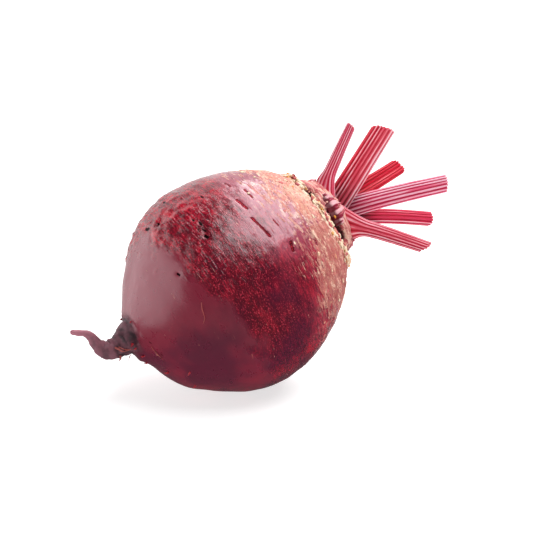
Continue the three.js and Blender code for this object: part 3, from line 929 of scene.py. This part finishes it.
def makeLeafBase(number, base, material):
    # a flat ribbed oval bent round the axis, carried up to an edge whose height is ragged
    shape = leafBaseShape
    outwards = awayAt(base["turn"])
    ahead = np.array([0.0, 1.0, 0.0])
    side = across(outwards, ahead)
    angle = np.linspace(0, 2 * np.pi, shape["sides"], endpoint=False)[None, :]
    t = np.linspace(0, 1, shape["rings"])[:, None]
    rib = 2 * np.abs(np.cos(0.5 * shape["ribs"] * angle + number)) ** 0.6 - 1
    rib = rib * np.ones_like(t)
    swell = 1 + 0.1 * rib
    above = lerp(-shape["depth"], base["height"], t)
    around = np.cos(angle) * base["half"]
    place = np.stack([around / 1.3, 0 * around, 0 * around + number], -1)
    torn = shape["torn"] * softNoise(place, 40 + number, 3)
    notch = 1.1 * smooth(np.abs(np.cos(angle)), 0.45, 1.0)
    above = above + smooth(t, 0.45, 1) * (torn - notch)
    half = base["half"] * (1 - 0.2 * smooth(t, 0.7, 1))
    thick = shape["thick"] * (1 - 0.55 * smooth(t, 0.55, 1))
    x = half * swell * np.cos(angle)
    y = thick * swell * np.sin(angle) - 0.5 / base["seat"] * x**2
    place = np.stack([x / 2.2, above / 1.4, 0 * x + number], -1)
    y = y + 0.35 * t * softNoise(place, 50 + number, 2)
    out = base["seat"] - 0.9 * t + y
    rings = x[..., None] * side + out[..., None] * outwards
    rings = rings + (base["level"] + above)[..., None] * ahead
    scale = np.array(shape["edgeScales"])[:, None, None]
    middle = rings[-1].mean(0)
    closing = middle + (rings[-1] - middle) * scale
    closing[..., 1] = rings[-1][..., 1] - 0.1
    rings = np.concatenate([rings, closing])
    ones = np.ones(rings.shape[:2])
    masks = {
        "fibre": np.stack([np.cos(angle) * ones, np.sin(angle) * ones, rings[..., 1]], -1),
        "rib": np.concatenate([rib, rib[-3:]]),
        "torn": np.concatenate([smooth(t, 0.6, 1), np.ones((3, 1))]) * ones,
        # painted shade: the lower part of each leaf base, low among the stalks and the rim, is
        # darkened
        "low": np.concatenate([1 - smooth(t + 0.12 * rib, 0.42, 0.66), 0 * rib[-3:]]),
    }
    mesh = skinRings(f"oldLeafBase{number}", toModel(rings), masks)
    return showPiece(mesh, material, f"old_leaf_base_{number}")


leafBaseFinish = {
    "flesh": ink(206, 96, 116),
    "deep": ink(142, 26, 54),
    "paintedShadeDark": ink(84, 6, 20),
    "rib": ink(248, 196, 202),
    "dry": ink(206, 160, 130),
    "roughness": 0.6,
    "specular": 0.12,
}


def makeLeafBasePaint():
    look = leafBaseFinish
    paint = Paint("oldLeafBase")
    fibre, rib, torn = paint.vector("fibre"), paint.mask("rib"), paint.mask("torn")
    lines = paint.streaks(fibre, 9.0, 0.3, 3, 0.6)
    grain = paint.noise(paint.objectPlace(), 1300, 3, 0.6)
    paint.colour = paint.mix(paint.step(lines, 0.4, 0.65), look["deep"], look["flesh"])
    paint.coat(paint.step(rib * 0.5 + lines, 0.72, 0.92) * 0.8, look["rib"])
    paint.coat(torn * paint.step(grain, 0.5, 0.62) * 0.7, look["dry"])
    # painted shade darkens the lower part
    paint.coat(paint.mask("low") * 0.9, look["paintedShadeDark"])
    normal = paint.bump(lines * 0.6 + grain * 0.3, 0.0005, 0.8)
    return paint.finish(look["roughness"] + torn * 0.2, normal,
                        Specular_IOR_Level=look["specular"])


leafBasePaint = makeLeafBasePaint()
for number, base in enumerate(leafBases, 1):
    makeLeafBase(number, base, leafBasePaint)
print("old leaf bases made")

# Loose crumbs and scales of cork on the rim and the shoulder


def skinPlaces(turn, along):
    # points of the root's plain surface with the directions out of it, round it and along it
    u = np.interp(reachOf(along), reachTable, uTable)
    radius = outlineAt(u)[..., 2]
    relief = rootRelief(turn, outlineAt(u)[..., 0], radius)
    here = rootPoint(turn, u, relief)
    roundWay = rootPoint(turn + 0.01, u, 0) - rootPoint(turn, u, 0)
    alongWay = rootPoint(turn, np.maximum(u - 0.002, 0), 0) - rootPoint(turn, u, 0)
    roundWay = roundWay / np.linalg.norm(roundWay, axis=-1, keepdims=True)
    out = across(roundWay, alongWay)
    return toModel(here), out @ rootAxes, roundWay @ rootAxes, np.cross(out, roundWay) @ rootAxes


corkScales = {
    "count": 460,
    "corners": 9,
    "onRim": 0.8,  # share of the scales on the rim
    "size": (0.4, 1.15),
    "long": (1.0, 2.1),  # length over width
    "thick": (0.12, 0.42),
    "gapTurn": 0.57,  # the scales are small at the hole in the rim
}


def makeCorkScales(material):
    # each scale is a low dome: an uneven outline, an inner ring above it and a point on both sides
    rng = np.random.default_rng(61)
    shape = corkScales
    count, corners = shape["count"], shape["corners"]
    turn = rng.uniform(0, 2 * np.pi, count)
    onRim = rng.random(count) < shape["onRim"]
    rimAlong = np.interp(rimRadius(turn) + rng.normal(0.3, 1.0, count),
                         stationTable[:2000, 2], stationTable[:2000, 0])
    along = np.where(onRim, rimAlong, rng.triangular(8, 33, 34, count))
    here, out, roundWay, alongWay = skinPlaces(turn, along)
    nearHole = np.abs(turn - shape["gapTurn"]) < 0.09
    size = rng.uniform(*shape["size"], count) * np.where(onRim, 1.0, 0.8)
    size = size * np.where(nearHole, 0.35, 1)
    longer = rng.uniform(*shape["long"], count)
    thick = rng.uniform(*shape["thick"], count) * np.where(onRim, 1.9, 0.55)
    tilt = rng.normal(0, 0.35, count) * np.where(onRim, 1.6, 0.4)
    lean = (out * np.cos(tilt)[:, None] + alongWay * np.sin(tilt)[:, None])
    corner = np.linspace(0, 2 * np.pi, corners, endpoint=False)
    ragged = rng.uniform(0.6, 1.25, (count, corners)) * size[:, None]
    ringShape = np.stack([np.cos(corner) * ragged * longer[:, None], np.sin(corner) * ragged], -1)

    def ring(share, height):
        flat = ringShape[..., :1] * roundWay[:, None] + ringShape[..., 1:] * alongWay[:, None]
        return here[:, None] + share * flat + (height * thick)[:, None, None] * lean[:, None]

    low, high = ring(1, 0.1), ring(0.62, 1)
    top = (here + thick[:, None] * 1.1 * lean)[:, None]
    under = (here - 0.5 * lean)[:, None]
    points = np.concatenate([low, high, top, under], 1).reshape(-1, 3)
    stride = 2 * corners + 2
    base = np.arange(count)[:, None] * stride
    j, k = np.arange(corners), (np.arange(corners) + 1) % corners
    quads = np.stack([base + j, base + k, base + corners + k, base + corners + j], -1)
    cap = np.stack([base + corners + j, base + corners + k, base + 0 * j + 2 * corners], -1)
    bottom = np.stack([base + k, base + j, base + 0 * j + 2 * corners + 1], -1)
    faces = [quads.reshape(-1, 4), cap.reshape(-1, 3), bottom.reshape(-1, 3)]
    tone = np.repeat(rng.random(count), stride)
    mesh = buildMesh("corkScales", points, faces, {"tone": tone})
    return showPiece(mesh, material)


corkFinish = {
    "pale": ink(244, 218, 188),
    "tan": ink(218, 150, 116),
    "ochre": ink(232, 156, 44),
    "pink": ink(206, 100, 104),
    "roughness": 0.7,
}


def makeCorkPaint():
    look = corkFinish
    paint = Paint("looseCork")
    tone = paint.mask("tone")
    grain = paint.noise(paint.objectPlace(), 1400, 3, 0.6)
    paler = paint.step(tone + (grain - 0.5) * 0.6, 0.2, 0.6)
    paint.colour = paint.mix(paler, look["tan"], look["pale"])
    paint.coat(paint.step(tone, 0.9, 0.93), look["ochre"])
    paint.coat(paint.step(0.22 - tone, 0.0, 0.05), look["pink"])
    return paint.finish(look["roughness"], paint.bump(grain, 0.0005, 0.8))


makeCorkScales(makeCorkPaint())
print("cork scales made")

# Thin side roots and their stubs

sideRoots = {
    # turn and along of each knot, its height off the skin, and the radius at the first and the last
    "hairs": [
        ([(64.8, -56.7, 0.2), (78, -55.6, 1.2), (90, -54.6, 1.3), (98, -53.6, 0.5),
          (105, -51.2, 0.2)],
        0.3, 0.2),
        ([(70, -55.4, 0.1), (80, -54.3, 0.9), (92, -53.2, 0.8), (101, -51.9, 0.2)], 0.24, 0.14),
        ([(86.1, -45.8, 0.05), (93, -45.5, 0.25), (99.2, -45, 0.3), (109.6, -44.2, 0.05)], 0.15,
        0.09),
        ([(124, -55.6, 0), (128, -55.8, 0.9), (132, -56.4, 1.7)], 0.5, 0.14),
        ([(150, -52.2, 0), (152, -52.6, 1), (154, -53.4, 2.1)], 0.2, 0.06),
        ([(64, -26.5, 0), (68, -27.4, 0.3), (73, -28, 0.3), (76, -29.4, 0)], 0.14, 0.08),
        ([(250, -52, 0), (256, -52.6, 1.6), (264, -52.2, 3.2)], 0.22, 0.07),
    ],
    "stubs": [
        (86.4, -50.4, 0.8), (105.5, -49.8, 0.7), (125.3, -47.9, 0.75), (159.7, -47, 0.6),
        (139.3, -43.8, 0.85), (116.9, -38.9, 0.7), (145.1, -37.6, 0.6), (214, -45, 0.8),
        (262, -41, 0.7), (300, -46, 0.8), (20, -47.5, 0.6),
    ],
    "sides": 8,
    "steps": 26,
}  # fmt: skip


def makeSideRoots(material):
    # a round section that thins along a line through its knots, each held off the root's skin
    sides, steps = sideRoots["sides"], sideRoots["steps"]
    lines = list(sideRoots["hairs"])
    for turn, along, size in sideRoots["stubs"]:
        knots = [(turn, along, -0.3), (turn + 1.0, along - 0.2, 0.5 * size)]
        knots.append((turn + 3.0, along - 0.5, 0.9 * size))
        lines.append((knots, 0.62 * size, 0.3 * size))
    points, faces, tones = [], [[], [], []], []
    angle = np.linspace(0, 2 * np.pi, sides, endpoint=False)[None, :, None]
    first = 0
    for order, (knots, thickStart, thickEnd) in enumerate(lines):
        knots = np.array(knots, float)
        here, out, _, _ = skinPlaces(np.radians(knots[:, 0]), knots[:, 1])
        held = here + knots[:, 2:] * out
        t = np.linspace(0, len(knots) - 1, steps)
        line = curveThrough(held, t)
        ahead = np.gradient(line, axis=0)
        ahead = ahead / np.linalg.norm(ahead, axis=1, keepdims=True)
        sideways = across(ahead, np.array([0.3, 0.5, 0.81]))
        up = np.cross(ahead, sideways)
        share = np.linspace(0, 1, steps)[:, None, None]
        thick = lerp(thickStart, thickEnd, share) * (1 + 0.18 * np.sin(9 * share + order))
        thick = thick * np.sqrt(np.clip((1 - share) * 6 + 0.15, 0, 1))
        spoke = np.cos(angle) * sideways[:, None] + np.sin(angle) * up[:, None]
        rings = line[:, None] + thick * spoke
        points.append(withMiddles(rings))
        for kept, added in zip(faces, ringFaces(steps, sides, first)):
            kept.append(added)
        tones.append(np.full(steps * sides + 2, 1.0 if order >= len(sideRoots["hairs"]) else 0.4))
        first += steps * sides + 2
    faces = [np.concatenate(kept) for kept in faces]
    mesh = buildMesh("sideRoots", np.concatenate(points), faces, {"tone": np.concatenate(tones)})
    return showPiece(mesh, material)


sideRootFinish = {"hair": ink(176, 84, 78), "stub": ink(176, 24, 42), "roughness": 0.45}


def makeSideRootPaint():
    look = sideRootFinish
    paint = Paint("sideRoots")
    grain = paint.noise(paint.objectPlace(), 1600, 2, 0.6)
    tone = paint.step(paint.mask("tone") + (grain - 0.5) * 0.3, 0.5, 0.9)
    paint.colour = paint.mix(tone, look["hair"], look["stub"])
    return paint.finish(look["roughness"], paint.bump(grain, 0.0003, 0.6))


makeSideRoots(makeSideRootPaint())
print("side roots made")

# Floor, light and camera

studio = {
    "floorSize": 8.0,
    "floorColour": (0.6, 0.6, 0.6, 1.0),
    "floorSpeck": (0.55, 0.55, 0.55, 1.0),
    "floorGlow": 0.7,
    "world": 0.1,
    "middle": (0.0004, 0.0, 0.042),
    "rightWay": (0.8957, -0.4446, 0.0),
    "viewWay": (0.4274, 0.8610, -0.2756),
    "target": (0.01085, -0.00356, 0.04694),
    "distance": 0.8,
    "lens": 141.57,
    # place as metres to the right, away and up, then width, height and brightness of the face
    "lights": {
        "leftSoftbox": ((-0.75, 0.1, 0.03), 1.1, 0.62, 1.9),
        "topSoftbox": ((0.37, 0.26, 0.7), 0.76, 1.32, 4.55),
        "backSheet": ((0, 1.2, 0.36), 3.0, 2.2, 0.85),
    },
}


def makeFloor():
    half = studio["floorSize"] / 2
    corners = np.array([[-half, -half, 0], [half, -half, 0], [half, half, 0], [-half, half, 0]])
    mesh = buildMesh("floor", corners * 1000, [np.array([[0, 1, 2, 3]])], {})
    paint = Paint("paleFloor")
    grain = paint.noise(paint.objectPlace(), 40, 2, 0.5)
    paint.colour = paint.mix(grain * 0.04, studio["floorColour"], studio["floorSpeck"])
    material = paint.finish(0.9, paint.bump(grain, 0.0001, 0.1),
                            Emission_Color=(1.0, 1.0, 1.0, 1.0),
                            Emission_Strength=studio["floorGlow"])
    mesh.materials.append(material)
    floor = bpy.data.objects.new("floor", mesh)
    bpy.context.collection.objects.link(floor)
    floor.visible_glossy = False
    floor.visible_shadow = False


def makeLight(name, place, wide, away, width, height, radiance):
    # an oblong lamp whose width runs along wide and which shines against away, with a power of
    # pi times its area times the brightness of its face
    lamp = bpy.data.lights.new(name, "AREA")
    lamp.shape, lamp.size, lamp.size_y = "RECTANGLE", width, height
    lamp.energy = np.pi * width * height * radiance
    light = bpy.data.objects.new(name, lamp)
    away = away.normalized()
    wide = (wide - away * wide.dot(away)).normalized()
    axes = Matrix((wide, away.cross(wide), away)).transposed()
    light.matrix_world = Matrix.Translation(Vector(studio["middle"]) + place) @ axes.to_4x4()
    bpy.context.collection.objects.link(light)
    light.visible_camera = False


def makeStudio():
    right, view = Vector(studio["rightWay"]), Vector(studio["viewWay"])
    level = Vector((view.x, view.y, 0)).normalized()
    upright = Vector((0, 0, 1))
    facing = {"leftSoftbox": (level, right * -1), "topSoftbox": (right, upright)}
    for name, ((beside, beyond, above), *face) in studio["lights"].items():
        place = beside * right + beyond * level + above * upright
        makeLight(name, place, *facing.get(name, (right, place)), *face)
    world = bpy.data.worlds.new("studioAir")
    world.use_nodes = True
    world.node_tree.nodes["Background"].inputs[0].default_value = (1, 1, 1, 1)
    world.node_tree.nodes["Background"].inputs[1].default_value = studio["world"]
    bpy.context.scene.world = world
    camera = bpy.data.objects.new("camera", bpy.data.cameras.new("camera"))
    camera.data.lens, camera.data.sensor_width = studio["lens"], 36
    camera.data.clip_start, camera.data.clip_end = 0.01, 100
    camera.location = Vector(studio["target"]) - view.normalized() * studio["distance"]
    camera.rotation_euler = view.to_track_quat("-Z", "Y").to_euler()
    bpy.context.collection.objects.link(camera)
    bpy.context.scene.camera = camera
    bpy.context.scene.view_settings.view_transform = "Standard"


makeFloor()
makeStudio()
print("studio made")
